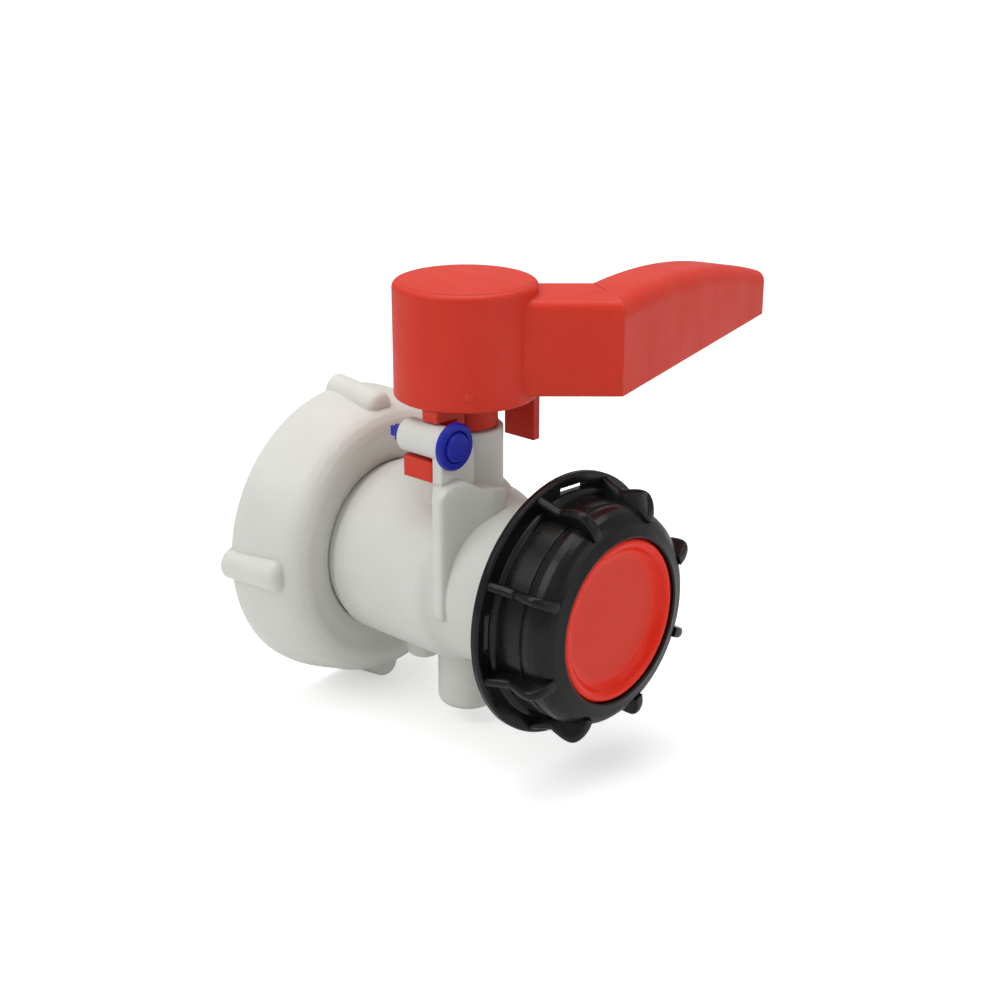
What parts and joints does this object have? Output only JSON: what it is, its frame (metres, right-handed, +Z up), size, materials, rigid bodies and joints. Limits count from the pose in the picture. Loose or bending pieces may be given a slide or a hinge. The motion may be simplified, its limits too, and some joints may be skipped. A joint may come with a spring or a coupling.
{
  "type": "container valve",
  "caption": "Quarter-turn butterfly valve with a cranked lever, lock pin, union nut inlet and a finned screw cap over its outlet.",
  "frame": {"origin": "centre of the union nut's open mouth on the flow axis", "axes": "+X along the flow from inlet to outlet, +Z up along the stem to the lever, the closed lever's grip reaches toward +Y"},
  "size_m": [0.13, 0.2046, 0.1571],
  "materials": {
    "body_plastic": "natural white moulded polyethylene, satin",
    "nut_plastic": "natural white moulded polyethylene, satin",
    "inner_plastic": "natural moulded plastic",
    "seal_rubber": "moulded black rubber",
    "pin_steel": "plain stainless steel",
    "bush_plastic": "black bearing plastic",
    "handle_plastic": "red moulded plastic, fine satin",
    "pin_plastic": "blue moulded plastic",
    "cap_plastic": "black moulded plastic, satin",
    "cap_disc_plastic": "bright red moulded plastic, soft sheen"
  },
  "bodies": {
    "body": {"valve_body": "body_plastic", "collar_ring": "body_plastic", "inlet_gasket": "seal_rubber", "inlet_sleeve": "inner_plastic", "seat_ring": "inner_plastic", "upper_bush": "bush_plastic", "thrust_washer": "pin_steel", "lower_bush": "bush_plastic"},
    "nut": {"union_nut": "nut_plastic"},
    "handle": {"handle_lever": "handle_plastic", "lock_clip": "handle_plastic", "drive_sleeve": "handle_plastic", "stem_clip": "pin_steel", "stem": "inner_plastic", "stem_orings": "seal_rubber", "disc": "inner_plastic", "disc_seal": "seal_rubber", "disc_pins": "pin_steel"},
    "pin": {"lock_pin": "pin_plastic"},
    "cap_travel": {"cap_disc": "cap_disc_plastic", "cap_gasket": "body_plastic"},
    "cap": {"outlet_cap": "cap_plastic"}
  },
  "joints": [
    {"name": "handle_turn", "type": "hinge", "parent": "body", "child": "handle", "pos_m": [0.0625, 0, 0], "axis": [0, 0, 1], "range_deg": [-90, 0]},
    {"name": "nut_spin", "type": "hinge", "parent": "body", "child": "nut", "pos_m": [0, 0, 0], "axis": [1, 0, 0], "continuous": true},
    {"name": "pin_pull", "type": "slide", "parent": "body", "child": "pin", "axis": [1, 0, 0], "range_m": [0, 0.026]},
    {"name": "cap_slide", "type": "slide", "parent": "body", "child": "cap_travel", "axis": [1, 0, 0], "range_m": [0, 0.016]},
    {"name": "cap_turn", "type": "hinge", "parent": "cap_travel", "child": "cap", "pos_m": [0.0625, 0, 0], "axis": [1, 0, 0], "range_deg": [0, 900]}
  ],
  "couplings": [
    {"joint": "cap_slide", "follows": "cap_turn", "m_per_rad": 0.00095493}
  ]
}
